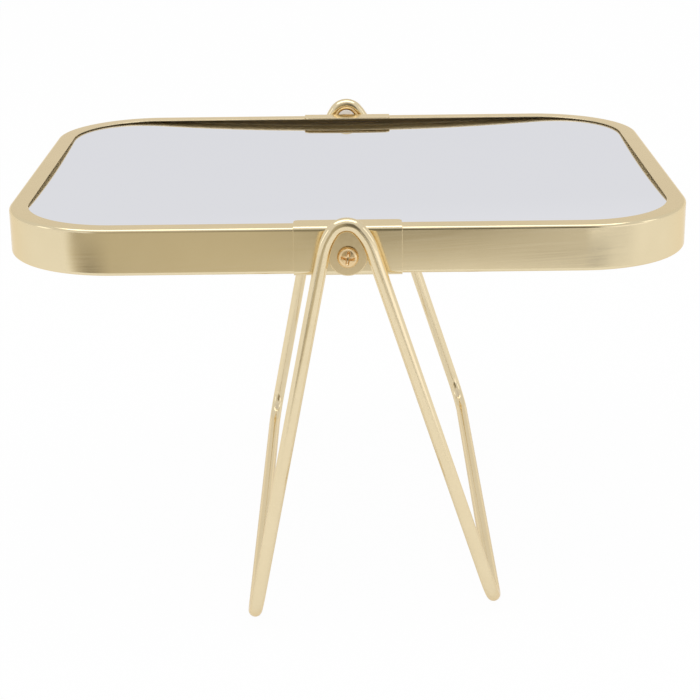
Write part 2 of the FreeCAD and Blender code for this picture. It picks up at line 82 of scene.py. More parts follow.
def new_material(name):
    """Material with a shader, which is returned with the tree."""
    material, tree, surface = empty_tree(name)
    shader = tree.nodes.new("ShaderNodeBsdfPrincipled")
    tree.links.new(shader.outputs["BSDF"], surface)
    return material, tree, shader


NOISE_DETAIL = 3.0
NOISE_MIDDLE = (0.3, 0.7)
EVEN = (1, 1, 1)


def noise(tree, scale, detail=NOISE_DETAIL, stretch=EVEN):
    """Noise over the piece's own coordinates, in repeats per metre, stretched along the axes."""
    place = tree.nodes.new("ShaderNodeTexCoord")
    mapping = tree.nodes.new("ShaderNodeMapping")
    mapping.inputs["Rotation"].default_value = (0, -REST_TILT, 0)
    mapping.inputs["Scale"].default_value = stretch
    texture = tree.nodes.new("ShaderNodeTexNoise")
    texture.inputs["Scale"].default_value = scale
    texture.inputs["Detail"].default_value = detail
    tree.links.new(place.outputs["Object"], mapping.inputs["Vector"])
    tree.links.new(mapping.outputs["Vector"], texture.inputs["Vector"])
    return texture.outputs["Fac"]


def map_range(tree, source, start, end, low=0.0, high=1.0, kind="LINEAR"):
    """Low up to start, high from end on, and a steady or smooth change between."""
    node = tree.nodes.new("ShaderNodeMapRange")
    node.interpolation_type = kind
    node.inputs["From Min"].default_value = start
    node.inputs["From Max"].default_value = end
    node.inputs["To Min"].default_value = low
    node.inputs["To Max"].default_value = high
    tree.links.new(source, node.inputs["Value"])
    return node.outputs["Result"]


def spread(tree, source, low, high):
    """The noise's middle range spread over low to high."""
    return map_range(tree, source, *NOISE_MIDDLE, low, high)


def soft_step(tree, source, start, end):
    """0 at start, 1 at end, smooth between."""
    return map_range(tree, source, start, end, kind="SMOOTHSTEP")


def tint(tree, source, first, second):
    """Colour between two tones, which can come from other nodes."""
    node = tree.nodes.new("ShaderNodeMix")
    node.data_type = "RGBA"
    sockets = [socket for socket in node.inputs if socket.type == "RGBA"]
    for socket, colour in zip(sockets, (first, second)):
        if isinstance(colour, tuple):
            socket.default_value = (*colour, 1)
        else:
            tree.links.new(colour, socket)
    tree.links.new(source, node.inputs["Factor"])
    return next(socket for socket in node.outputs if socket.type == "RGBA")


def between(tree, source, first, second):
    """Number between two others, which can come from other nodes."""
    node = tree.nodes.new("ShaderNodeMix")
    for name, value in (("A", first), ("B", second)):
        if isinstance(value, float):
            node.inputs[name].default_value = value
        else:
            tree.links.new(value, node.inputs[name])
    tree.links.new(source, node.inputs["Factor"])
    return node.outputs["Result"]


def calculate(tree, operation, *values):
    """Math node over sockets and numbers."""
    node = tree.nodes.new("ShaderNodeMath")
    node.operation = operation
    for socket, value in zip(node.inputs, values):
        if isinstance(value, (int, float)):
            socket.default_value = value
        else:
            tree.links.new(value, socket)
    return node.outputs["Value"]


def all_of(tree, share, *others):
    """Shares multiplied together."""
    for other in others:
        share = calculate(tree, "MULTIPLY", share, other)
    return share


def bump(tree, shader, source, height):
    """Relief of the given height on the shader's surface."""
    node = tree.nodes.new("ShaderNodeBump")
    node.inputs["Distance"].default_value = height
    tree.links.new(source, node.inputs["Height"])
    tree.links.new(node.outputs["Normal"], shader.inputs["Normal"])


# Plated metal, whose tone turns to the edge tint where it is seen at a flat angle
EDGE_TINT = (0.96, 0.87, 0.72, 1)
CLOUDS_PER_METRE = 90
STREAKS_PER_METRE = 900
STREAK_DETAIL = 4
SATIN_SPREAD = 0.03
SATIN_RELIEF = 0.0000012

# Inside of the band's channel, up to the cut edges of its lips, where shade is painted: dark brown on its
# upright walls, lighter under the lips
CHANNEL_HALF_HEIGHT = 6.36 * MM
CHANNEL_WALL_SHADE = (0.26, 0.19, 0.09)
CHANNEL_LIPS_SHADE = (0.86, 0.69, 0.36)
CHANNEL_ROUGHNESS = 0.6
CHANNEL_METALLIC = 0.15


def channel_inside(tree):
    """1 on the channel's faces that look towards the middle of the head, where shade is painted, and how
    level each is.

    The cut edges of the lips lie above and below those faces and are plated like the outside.
    """
    place = tree.nodes.new("ShaderNodeTexCoord")
    offset = tree.nodes.new("ShaderNodeVectorMath")
    offset.operation = "SUBTRACT"
    offset.inputs[1].default_value = PIVOT
    tree.links.new(place.outputs["Object"], offset.inputs[0])
    outwards = tree.nodes.new("ShaderNodeVectorMath")
    height = tree.nodes.new("ShaderNodeVectorMath")
    for product in (outwards, height):
        product.operation = "DOT_PRODUCT"
        tree.links.new(offset.outputs["Vector"], product.inputs[0])
    tree.links.new(place.outputs["Normal"], outwards.inputs[1])
    height.inputs[1].default_value = HEAD_UP
    from_middle = calculate(tree, "ABSOLUTE", height.outputs["Value"])
    facing = calculate(tree, "LESS_THAN", outwards.outputs["Value"], 0.0)
    sunk = calculate(tree, "LESS_THAN", from_middle, CHANNEL_HALF_HEIGHT)
    axes = tree.nodes.new("ShaderNodeSeparateXYZ")
    tree.links.new(place.outputs["Normal"], axes.inputs["Vector"])
    return all_of(tree, facing, sunk), calculate(tree, "ABSOLUTE", axes.outputs["Z"])


def plating(name, dark, light, roughness, streaks=EVEN, channel=False):
    """Satin plating: clouds of slightly different tone, and fine streaks from rolling or drawing.

    A channel is dull on its inside and carries painted shade there: darkest on its walls deep in it, lighter
    under its lips.
    """
    material, tree, shader = new_material(name)
    shader.inputs["Metallic"].default_value = 1.0
    shader.inputs["Specular Tint"].default_value = EDGE_TINT
    colour = tint(tree, noise(tree, CLOUDS_PER_METRE), dark, light)
    fine = noise(tree, STREAKS_PER_METRE, STREAK_DETAIL, streaks)
    rough = spread(tree, fine, roughness - SATIN_SPREAD, roughness + SATIN_SPREAD)
    if channel:
        inside, level = channel_inside(tree)
        # Painted shade inside the channel: dark brown on upright walls, lighter on the lips' undersides, dull
        # instead of plated
        painted_shade = tint(tree, level, CHANNEL_WALL_SHADE, CHANNEL_LIPS_SHADE)
        colour = tint(tree, inside, colour, painted_shade)
        rough = between(tree, inside, rough, CHANNEL_ROUGHNESS)
        tree.links.new(between(tree, inside, 1.0, CHANNEL_METALLIC), shader.inputs["Metallic"])
    tree.links.new(colour, shader.inputs["Base Color"])
    tree.links.new(rough, shader.inputs["Roughness"])
    bump(tree, shader, fine, SATIN_RELIEF)
    return material


# Silvered glass
SILVER_DARK, SILVER_LIGHT = (0.836, 0.840, 0.885), (0.844, 0.848, 0.891)
SILVER_CLOUDS_PER_METRE = 25
SILVER_HAZE_PER_METRE, SILVER_HAZE = 40, 0.012
SILVER_WAVES_PER_METRE, SILVER_WAVE_HEIGHT = 12, 0.000002


def silvering(name):
    """Mirror with traces of haze and waves."""
    material, tree, shader = new_material(name)
    shader.inputs["Metallic"].default_value = 1.0
    colour = tint(tree, noise(tree, SILVER_CLOUDS_PER_METRE), SILVER_DARK, SILVER_LIGHT)
    rough = spread(tree, noise(tree, SILVER_HAZE_PER_METRE), 0.0, SILVER_HAZE)
    tree.links.new(colour, shader.inputs["Base Color"])
    tree.links.new(rough, shader.inputs["Roughness"])
    bump(tree, shader, noise(tree, SILVER_WAVES_PER_METRE), SILVER_WAVE_HEIGHT)
    return material


# Nylon, board and foam
GRAIN_SPREAD = 0.08
GRAIN_HEIGHT = 0.00003


def grained(name, dark, light, roughness, grains_per_metre):
    """Dull material with grain."""
    material, tree, shader = new_material(name)
    grain = noise(tree, grains_per_metre)
    rough = spread(tree, grain, roughness - GRAIN_SPREAD, roughness + GRAIN_SPREAD)
    tree.links.new(tint(tree, grain, dark, light), shader.inputs["Base Color"])
    tree.links.new(rough, shader.inputs["Roughness"])
    bump(tree, shader, grain, GRAIN_HEIGHT)
    return material


# The looks of band and sleeves, then every slot's material: its dark and light tone, roughness and grain
BAND_DARK, BAND_LIGHT, BAND_ROUGHNESS = (0.785, 0.665, 0.43), (0.835, 0.715, 0.475), 0.13
ALONG_BAND = (0.05, 0.05, 3)
MATERIALS = {
    "gold_wire": plating("gold_wire", (0.80, 0.67, 0.43), (0.86, 0.73, 0.49), 0.16),
    "gold_band": plating("gold_band", BAND_DARK, BAND_LIGHT, BAND_ROUGHNESS, ALONG_BAND, channel=True),
    "gold_sleeve": plating("gold_sleeve", BAND_DARK, BAND_LIGHT, BAND_ROUGHNESS, ALONG_BAND),
    "gold_disc": plating("gold_disc", (0.775, 0.63, 0.385), (0.825, 0.68, 0.43), 0.18),
    "gold_screw": plating("gold_screw", (0.80, 0.59, 0.32), (0.88, 0.68, 0.40), 0.2),
    "plate_steel": plating("plate_steel", (0.5, 0.5, 0.52), (0.62, 0.62, 0.64), 0.3),
    "mirror_glass": silvering("mirror_glass"),
    "nylon": grained("nylon", (0.91, 0.88, 0.86), (0.97, 0.95, 0.93), 0.5, 800),
    "board": grained("board", (0.03, 0.028, 0.025), (0.06, 0.055, 0.05), 0.8, 1500),
    "foam": grained("foam", (0.015, 0.015, 0.015), (0.04, 0.04, 0.04), 0.9, 2500),
}
for node in frame["nodes"].values():
    slot = node.material_slots[0].material.name
    node.data.materials[0] = MATERIALS[slot]


# Pieces that stand for nodes
SHARP_DEGREES = 35


def add_piece(name, surface, node, slot, sharp=SHARP_DEGREES):
    """Finished piece on the mirror head that stands for a node, from a mesh in the part's frame."""
    mesh = bpy.data.meshes.new(name)
    surface.to_mesh(mesh)
    surface.free()
    mesh.polygons.foreach_set("use_smooth", [True] * len(mesh.polygons))
    mesh.set_sharp_from_angle(angle=math.radians(sharp))
    mesh.materials.append(MATERIALS[slot])
    piece = bpy.data.objects.new(name, mesh)
    scene.collection.objects.link(piece)
    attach(piece, "mirror_head")
    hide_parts(node)
    return piece


def even_flats(piece):
    """Flat faces keep their own direction up to the bends."""
    even = piece.modifiers.new("even_flats", "WEIGHTED_NORMAL")
    even.keep_sharp = True


def join_rings(surface, rings):
    """Faces between neighbouring closed rings of vertices."""
    count = len(rings[0])
    for lower, upper in zip(rings, rings[1:]):
        for index in range(count):
            following = (index + 1) % count
            surface.faces.new((lower[index], lower[following], upper[following], upper[index]))


def close_middle(surface, middle, ring):
    """Faces between a ring of vertices and a place at its middle."""
    centre = surface.verts.new(middle)
    for index in range(len(ring)):
        surface.faces.new((centre, ring[index], ring[(index + 1) % len(ring)]))


# The band's channel, in the head's frame
BAND_HALF_LENGTH = 100 * MM
BAND_HALF_WIDTH = 80 * MM
BAND_HALF_HEIGHT = 6.75 * MM
BAND_CORNER = 33.5 * MM
BAND_LIP = 5.6 * MM
BAND_BEND = 1.0 * MM
BAND_SHEET = 0.4 * MM
BAND_NOTCH = 1.6 * MM
NOTCH_CLEAR = 4.0 * MM
BEND_STEPS = 10
NOTCH_STEPS = 16
LIP_STEPS = 6
CORNER_STEPS = 48


def band_section():
    """Outer line of the channel's section from lip to lip: inwards, up, and the way out of the sheet."""
    top = [(BAND_LIP - BAND_SHEET / 2, BAND_HALF_HEIGHT, 0, 1)]
    for step in range(BEND_STEPS + 1):
        angle = QUARTER_TURN * step / BEND_STEPS
        out, up = math.sin(angle), math.cos(angle)
        top.append((BAND_BEND * (1 - out), BAND_HALF_HEIGHT - BAND_BEND * (1 - up), -out, up))
    notch = [BAND_NOTCH * math.cos(HALF_TURN * step / NOTCH_STEPS) for step in range(NOTCH_STEPS + 1)]
    wall = [(0, up, -1, 0) for up in notch]
    bottom = [(inwards, -up, out, -out_up) for inwards, up, out, out_up in reversed(top)]
    return top + wall + bottom


def lip_rounding(up):
    """Points round the cut edge of a lip, between its outside and its inside."""
    centre = up * (BAND_HALF_HEIGHT - BAND_SHEET / 2)
    points = []
    for step in range(1, LIP_STEPS):
        angle = HALF_TURN * step / LIP_STEPS
        inwards = BAND_LIP - BAND_SHEET / 2 * (1 - math.sin(angle))
        points.append((inwards, centre + up * BAND_SHEET / 2 * math.cos(angle)))
    return points


def band_path():
    """Places round the left half of the band with the way out of each, from the front joint to the rear."""
    straight = BAND_HALF_LENGTH - BAND_CORNER
    side = BAND_HALF_WIDTH - BAND_CORNER
    places = [(0, -BAND_HALF_WIDTH, 0, -1), (-NOTCH_CLEAR, -BAND_HALF_WIDTH, 0, -1)]
    for start, centre in ((HALF_TURN + QUARTER_TURN, -side), (HALF_TURN, side)):
        for step in range(CORNER_STEPS + 1):
            angle = start - QUARTER_TURN * step / CORNER_STEPS
            out_x, out_y = math.cos(angle), math.sin(angle)
            places.append((BAND_CORNER * out_x - straight, BAND_CORNER * out_y + centre, out_x, out_y))
    return places + [(-NOTCH_CLEAR, BAND_HALF_WIDTH, 0, 1), (0, BAND_HALF_WIDTH, 0, 1)]


def close_band_end(surface, ring, count):
    """Faces over the cut end of the sheet: along the section, then round each lip's edge."""
    rounding = LIP_STEPS - 1
    first, turn = ring[:count], ring[count:count + rounding]
    back, last = ring[count + rounding:2 * count + rounding], ring[-rounding:]
    back.reverse()
    for index in range(count - 1):
        surface.faces.new((first[index], first[index + 1], back[index + 1], back[index]))
    surface.faces.new((first[-1], *turn, back[-1]))
    surface.faces.new((back[0], *last, first[0]))


def band_half(side, half_turn):
    """Half of the band: the channel swept round two corners, its lips' cut edges rounded over."""
    outer = band_section()
    inner = [(inwards - BAND_SHEET * out, up - BAND_SHEET * out_up) for inwards, up, out, out_up in outer]
    loop = [(inwards, up) for inwards, up, _, _ in outer]
    loop += lip_rounding(-1) + inner[::-1] + lip_rounding(1)[::-1]
    surface = bmesh.new()
    rings = []
    for x, y, out_x, out_y in band_path():
        ring = []
        for inwards, up in loop:
            notch = 0
            if x == 0 and inwards < BAND_BEND / 2 and abs(up) < BAND_NOTCH:
                notch = math.sqrt(BAND_NOTCH ** 2 - up ** 2)
            ring.append(surface.verts.new((x - out_x * inwards - notch, y - out_y * inwards, up)))
        rings.append(ring)
    join_rings(surface, rings)
    for ring in (rings[0], rings[-1]):
        close_band_end(surface, ring, len(outer))
    bmesh.ops.recalc_face_normals(surface, faces=surface.faces)
    surface.transform(HEAD @ Matrix.Rotation(half_turn, 4, "Z"))
    piece = add_piece(f"band_{side}", surface, f"frame_half_{side}", "gold_band")
    even_flats(piece)


# The magnifying glass, silvered behind: the face that mirrors lies inside the glass, as deep as the
# photograph's gap under the lips shows it
GLASS_HALF_LENGTH = 97.8 * MM
GLASS_HALF_WIDTH = 77.8 * MM
GLASS_CORNER = 31.3 * MM
SILVER_RADIUS, SILVER_RIM = 1900 * MM, 6.3 * MM
BACK_RADIUS, BACK_RIM = 2802 * MM, 4.15 * MM
GLASS_CORNER_STEPS = 24
GLASS_SIDE_STEPS = 20
GLASS_RINGS = 40


def glass_outline():
    """Places round the glass, evenly close at the corners and along the sides."""
    places = []
    x, y = GLASS_HALF_LENGTH - GLASS_CORNER, GLASS_HALF_WIDTH - GLASS_CORNER
    centres = [(x, y), (-x, y), (-x, -y), (x, -y)]
    for quarter, centre in enumerate(centres):
        arc = []
        for step in range(GLASS_CORNER_STEPS + 1):
            angle = QUARTER_TURN * (quarter + step / GLASS_CORNER_STEPS)
            arc.append(Vector(centre) + GLASS_CORNER * Vector((math.cos(angle), math.sin(angle))))
        places += arc
        angle = QUARTER_TURN * (quarter + 1)
        following = Vector(centres[(quarter + 1) % 4])
        following += GLASS_CORNER * Vector((math.cos(angle), math.sin(angle)))
        places += [arc[-1].lerp(following, step / GLASS_SIDE_STEPS) for step in range(1, GLASS_SIDE_STEPS)]
    return places


def concave_glass():
    """Dished glass, finely divided so that what it mirrors is smooth."""
    outline = glass_outline()
    corner = max(place.length_squared for place in outline)
    surface = bmesh.new()
    sheets = []
    for radius, rim in ((SILVER_RADIUS, SILVER_RIM), (BACK_RADIUS, BACK_RIM)):
        centre = rim + math.sqrt(radius ** 2 - corner)
        rings = []
        for step in range(1, GLASS_RINGS + 1):
            places = [place * (step / GLASS_RINGS) for place in outline]
            rings.append([
                surface.verts.new((*place, centre - math.sqrt(radius ** 2 - place.length_squared)))
                for place in places
            ])
        close_middle(surface, (0, 0, centre - radius), rings[0])
        join_rings(surface, rings)
        sheets.append(rings[-1])
    join_rings(surface, sheets)
    bmesh.ops.recalc_face_normals(surface, faces=surface.faces)
    surface.transform(HEAD)
    add_piece("glass_magnifying", surface, "magnifying_mirror", "mirror_glass")


# The sleeves
MERGE_DISTANCE = 0.001 * MM
FLAT_ANGLE = math.radians(0.5)
EDGE_ANGLE = math.radians(50)
DEBURR_WIDTH = 0.14 * MM
DEBURR_STEPS = 3
ROUND_PROFILE = 0.5


def deburred_sleeve(side):
    """Sleeve with the cut edges of its sheet rounded over, as tumbling and plating leave them."""
    node = f"joint_sleeve_{side}"
    surface = bmesh.new()
    surface.from_mesh(frame["nodes"][node].data)
    bmesh.ops.remove_doubles(surface, verts=surface.verts, dist=MERGE_DISTANCE)
    bmesh.ops.dissolve_limit(surface, angle_limit=FLAT_ANGLE, verts=surface.verts, edges=surface.edges)
    edges = [edge for edge in surface.edges if edge.is_manifold and edge.calc_face_angle() > EDGE_ANGLE]
    bmesh.ops.bevel(
        surface, geom=edges, offset=DEBURR_WIDTH, segments=DEBURR_STEPS, profile=ROUND_PROFILE, affect="EDGES"
    )
    piece = add_piece(f"sleeve_{side}", surface, node, "gold_sleeve")
    even_flats(piece)


# Pivot screw, measured from its seat under the head
HEAD_SEAT = 86.45 * MM
HEAD_RADIUS = 3.0 * MM
HEAD_HEIGHT = 1.8 * MM
HEAD_ROUND = 1.4 * MM
CROWN_DROP = 0.1 * MM
RECESS_REACH = 2.1 * MM
RECESS_DEPTH = 1.4 * MM
ARM_WIDTH = 0.45 * MM
ARM_SLANT = 0.3 * MM
ARM_NARROWING_SHARE = 0.35
SCREW_TURN = math.radians(8)
SHANK_RADIUS = 1.48 * MM
SHANK_LENGTH = 8.2 * MM
THREAD_PITCH = 0.5 * MM
THREAD_DEPTH = 0.28 * MM
SCREW_STEPS = 144
SCREW_HEAD_RINGS = 44
THREAD_STEPS = 8
SCREW_SHARP_DEGREES = 50


def ramp(value, low, high):
    """0 below low, 1 above high, smooth between."""
    share = min(max((value - low) / (high - low), 0), 1)
    return share * share * (3 - 2 * share)


def head_height(x, y):
    """Top of a pan head with a cross recess: crowned, rounded at the rim, sunk deepest at the middle."""
    reach = math.hypot(x, y)
    flat = HEAD_RADIUS - HEAD_ROUND
    if reach <= flat:
        top = HEAD_HEIGHT - CROWN_DROP * (reach / flat) ** 2
    else:
        rim = math.sqrt(max(HEAD_ROUND ** 2 - (reach - flat) ** 2, 0))
        top = HEAD_HEIGHT - CROWN_DROP + (rim - HEAD_ROUND)
    across, along = sorted((abs(x), abs(y)))
    arm = ARM_WIDTH * (1 - ARM_NARROWING_SHARE * along / RECESS_REACH)
    wall = 1 - ramp(across, arm - ARM_SLANT / 2, arm + ARM_SLANT / 2)
    floor_depth = RECESS_DEPTH * max(1 - (along / RECESS_REACH) ** 2, 0)
    return top - floor_depth * wall


def screw_surface():
    """Screw along +Z with its seat at zero: the head above, the threaded shank below."""
    surface = bmesh.new()
    directions = []
    for step in range(SCREW_STEPS):
        angle = FULL_TURN * step / SCREW_STEPS
        directions.append((angle, math.cos(angle), math.sin(angle)))
    rings = []
    for step in range(1, SCREW_HEAD_RINGS + 1):
        reach = HEAD_RADIUS * step / SCREW_HEAD_RINGS
        ring = [(reach * x, reach * y) for _, x, y in directions]
        rings.append([surface.verts.new((x, y, head_height(x, y))) for x, y in ring])
    close_middle(surface, (0, 0, head_height(0, 0)), rings[0])
    rings.append([surface.verts.new((vertex.co.x, vertex.co.y, 0)) for vertex in rings[-1]])
    rings.append([surface.verts.new((SHANK_RADIUS * x, SHANK_RADIUS * y, 0)) for _, x, y in directions])
    levels = round(SHANK_LENGTH / THREAD_PITCH) * THREAD_STEPS
    for level in range(1, levels + 1):
        depth = SHANK_LENGTH * level / levels
        ring = []
        for angle, x, y in directions:
            phase = (depth / THREAD_PITCH + angle / FULL_TURN) % 1
            radius = SHANK_RADIUS - THREAD_DEPTH * abs(2 * phase - 1) * ramp(level, 0, THREAD_STEPS)
            ring.append(surface.verts.new((radius * x, radius * y, -depth)))
        rings.append(ring)
    join_rings(surface, rings)
    surface.faces.new(rings[-1])
    bmesh.ops.recalc_face_normals(surface, faces=surface.faces)
    return surface


def pan_screw(side, half_turn):
    """Screw turned outwards and set on its seat."""
    surface = screw_surface()
    outwards = Matrix.Rotation(QUARTER_TURN, 4, "X")
    place = Matrix.Translation((0, -HEAD_SEAT, 0)) @ Matrix.Rotation(SCREW_TURN, 4, "Y") @ outwards
    surface.transform(HEAD @ Matrix.Rotation(half_turn, 4, "Z") @ place)
    add_piece(f"screw_{side}", surface, f"pivot_screw_{side}", "gold_screw", SCREW_SHARP_DEGREES)


for side, half_turn in FRONT_AND_REAR:
    deburred_sleeve(side)
    pan_screw(side, half_turn)
for side, half_turn in LEFT_AND_RIGHT:
    band_half(side, half_turn)
concave_glass()


# The stage: floor, surround, and glowing cards that only reflections see, which paint light and dark
# reflections onto the object
def stage_plane(name, corners, material):
    """Plane of the stage with its material."""
    mesh = bpy.data.meshes.new(name)
    mesh.from_pydata(corners, [], [range(len(corners))])
    plane = bpy.data.objects.new(name, mesh)
    scene.collection.objects.link(plane)
    mesh.materials.append(material)
    return plane


def level_corners(low_x, high_x, low_y, high_y, z=0.0):
    """Corners of a level rectangle."""
    return [(low_x, low_y, z), (high_x, low_y, z), (high_x, high_y, z), (low_x, high_y, z)]


def upright_corners(start, end, low, high):
    """Corners of an upright rectangle over a line on the floor."""
    return [(*start, low), (*end, low), (*end, high), (*start, high)]


FLOOR_REACH = 12.0
FLOOR_COLOUR = (0.9, 0.9, 0.9, 1)
CAMERA_SHARE = 0.97
REFLECTED_SHARE = 0.6


def floor_material():
    """White sheet that takes a soft shadow, evenly white to the camera."""
    material, tree, surface = empty_tree("floor")
    sheet = tree.nodes.new("ShaderNodeBsdfDiffuse")
    sheet.inputs["Color"].default_value = FLOOR_COLOUR
    glow = tree.nodes.new("ShaderNodeEmission")
    mix = tree.nodes.new("ShaderNodeMixShader")
    path = tree.nodes.new("ShaderNodeLightPath")
    seen = calculate(tree, "MULTIPLY", path.outputs["Is Camera Ray"], CAMERA_SHARE)
    reflected = calculate(tree, "MULTIPLY", path.outputs["Is Glossy Ray"], REFLECTED_SHARE)
    tree.links.new(calculate(tree, "MAXIMUM", seen, reflected), mix.inputs["Fac"])
    tree.links.new(sheet.outputs["BSDF"], mix.inputs[1])
    tree.links.new(glow.outputs["Emission"], mix.inputs[2])
    tree.links.new(mix.outputs["Shader"], surface)
    return material


stage_plane("floor", level_corners(-FLOOR_REACH, FLOOR_REACH, -FLOOR_REACH, FLOOR_REACH), floor_material())

# Height of a direction, as the sine of its angle above the horizon, and the surround's colour there
HORIZON = 0.02, (1, 1, 1, 1)
SKY = 0.2, (0.80, 0.803, 0.812, 1)


def world_light():
    """White at the horizon, where it meets the floor, and a little greyer above."""
    world = bpy.data.worlds.new("studio")
    world.use_nodes = True
    scene.world = world
    tree = world.node_tree
    direction = tree.nodes.new("ShaderNodeTexCoord")
    axes = tree.nodes.new("ShaderNodeSeparateXYZ")
    height = tree.nodes.new("ShaderNodeValToRGB")
    for stop, (position, colour) in zip(height.color_ramp.elements, (HORIZON, SKY)):
        stop.position = position
        stop.color = colour
    tree.links.new(direction.outputs["Generated"], axes.inputs["Vector"])
    tree.links.new(axes.outputs["Z"], height.inputs["Fac"])
    tree.links.new(height.outputs["Color"], tree.nodes["Background"].inputs["Color"])


world_light()


def painted_reflection_material(name, shade):
    """Glowing card that paints a light or dark reflection onto the object, which shows where its cover is
    high.
    """
    material, tree, surface = empty_tree(name)
    clear = tree.nodes.new("ShaderNodeBsdfTransparent")
    # Emission of the painted reflection; the card lights nothing
    room = tree.nodes.new("ShaderNodeEmission")
    mix = tree.nodes.new("ShaderNodeMixShader")
    place = tree.nodes.new("ShaderNodeTexCoord").outputs["Object"]
    axes = tree.nodes.new("ShaderNodeSeparateXYZ")
    tree.links.new(place, axes.inputs["Vector"])
    colour, cover = shade(tree, place, axes.outputs)
    tree.links.new(colour, room.inputs["Color"])
    tree.links.new(cover, mix.inputs["Fac"])
    tree.links.new(clear.outputs["BSDF"], mix.inputs[1])
    tree.links.new(room.outputs["Emission"], mix.inputs[2])
    tree.links.new(mix.outputs["Shader"], surface)
    return material


def reflected_card(name, corners, shade):
    """Card beside the table that only reflections see."""
    card = stage_plane(name, corners, painted_reflection_material(name, shade))
    card.visible_camera = False
    card.visible_diffuse = False
    card.visible_shadow = False
    card.visible_transmission = False


# Painted reflection of the table's front and the dim room before it, on a glowing card. Tones go by distance,
# fades are places from clear to full.
APRON_NEAR, APRON_FAR = -0.34, -1.2
APRON_LEFT, APRON_RIGHT, APRON_HEIGHT = -0.65, 0.25, 0.0008
APRON_LEFT_FADE, APRON_RIGHT_FADE = (-0.60, -0.45), (0.21, 0.03)
APRON_TONE_CHANGE = (-0.06, 0.01)
LEFT_TONES = (
    (-0.36, (1.0, 1.0, 1.0)),
    (-0.40, (0.65, 0.60, 0.49)),
    (-0.55, (0.61, 0.565, 0.455)),
    (-0.9, (0.50, 0.46, 0.37)),
)
RIGHT_TONES = (
    (-0.415, (1.0, 1.0, 1.0)),
    (-0.435, (0.80, 0.77, 0.73)),
    (-0.460, (0.65, 0.61, 0.52)),
    (-0.485, (0.57, 0.53, 0.44)),
    (-0.505, (0.41, 0.38, 0.31)),
    (-0.54, (0.30, 0.28, 0.23)),
    (-0.9, (0.16, 0.15, 0.12)),
)


def tone_ramp(tree, depth, tones):
    """Colour by distance in front of the object."""
    node = tree.nodes.new("ShaderNodeValToRGB")
    stops = node.color_ramp.elements
    while len(stops) < len(tones):
        stops.new(0.5)
    for stop, (y, colour) in zip(stops, reversed(tones)):
        stop.position = (y - APRON_FAR) / (APRON_NEAR - APRON_FAR)
        stop.color = (*colour, 1)
    tree.links.new(depth, node.inputs["Fac"])
    return node.outputs["Color"]


def painted_apron_reflection(tree, place, axes):
    """Painted reflection of the table's front falling off into the dim room: evenly on the left, more and
    more on the right.
    """
    depth = map_range(tree, axes["Y"], APRON_FAR, APRON_NEAR)
    tones = [tone_ramp(tree, depth, side) for side in (LEFT_TONES, RIGHT_TONES)]
    colour = tint(tree, soft_step(tree, axes["X"], *APRON_TONE_CHANGE), *tones)
    left = soft_step(tree, axes["X"], *APRON_LEFT_FADE)
    right = soft_step(tree, axes["X"], *APRON_RIGHT_FADE)
    return colour, all_of(tree, left, right)


# Glowing card that paints the dark reflection of the table's front
apron = level_corners(APRON_LEFT, APRON_RIGHT, APRON_FAR, APRON_NEAR, APRON_HEIGHT)
reflected_card("apron", apron, painted_apron_reflection)

# Painted dark reflections, as dark glowing spots before the table: name, centre, turn in degrees, half
# length, half width, strength, height
DARK_REFLECTION_RIM, DARK_REFLECTION_MIDDLE = (0.12, 0.10, 0.07), (0.05, 0.04, 0.03)
DARK_REFLECTIONS = (
    ("left_near", (-0.28, -0.435), 0, 0.23, 0.12, 0.58, 0.0012),
    ("left_far", (-0.66, -0.68), 40, 0.34, 0.20, 0.95, 0.0016),
    ("right_near", (0.165, -0.402), 27, 0.17, 0.047, 0.68, 0.0020),
    ("right_far", (0.26, -0.58), -30, 0.13, 0.10, 0.85, 0.0024),
    ("right_broad", (0.31, -0.33), 40, 0.19, 0.12, 0.18, 0.0028),
)


def soft_spot(tree, place, centre, angle, half_length, half_width):
    """1 at the centre of an ellipse on the floor, fading to 0 at its rim."""
    mapping = tree.nodes.new("ShaderNodeMapping")
    mapping.vector_type = "TEXTURE"
    mapping.inputs["Location"].default_value = (*centre, 0)
    mapping.inputs["Rotation"].default_value = (0, 0, angle)
    mapping.inputs["Scale"].default_value = (half_length, half_width, 1)
    fade = tree.nodes.new("ShaderNodeTexGradient")
    fade.gradient_type = "SPHERICAL"
    tree.links.new(place, mapping.inputs["Vector"])
    tree.links.new(mapping.outputs["Vector"], fade.inputs["Vector"])
    return soft_step(tree, fade.outputs["Fac"], 0, 1)


def dark_reflection_card(name, centre, degrees, half_length, half_width, strength, height):
    """Painted dark reflection: a dark glowing spot on a card before the table, seen as a soft smudge in the
    metal.
    """
    def shade(tree, place, axes):
        spot = soft_spot(tree, place, centre, math.radians(degrees), half_length, half_width)
        # Painted dark reflection, darkest at its middle
        tones = tint(tree, spot, DARK_REFLECTION_RIM, DARK_REFLECTION_MIDDLE)
        return tones, calculate(tree, "MULTIPLY", spot, strength)

    x, y = centre
    reach = max(half_length, half_width)
    reflected_card(name, level_corners(x - reach, x + reach, y - reach, y + reach, height), shade)


for dark_reflection in DARK_REFLECTIONS:
    dark_reflection_card(*dark_reflection)

# Painted reflection of the room's dim wall, on a glowing card
WALL_LEFT, WALL_RIGHT, WALL_TOP = -0.9, 0.8, 1.2
WALL_LEFT_FADE, WALL_RIGHT_FADE, WALL_TOP_FADE = (-0.8, -0.45), (0.7, 0.4), (1.15, 0.75)
WALL_TONE_CHANGE = (-0.2, 0.1)
WALL_LEFT_TONE, WALL_RIGHT_TONE = (0.48, 0.44, 0.35), (0.16, 0.15, 0.12)


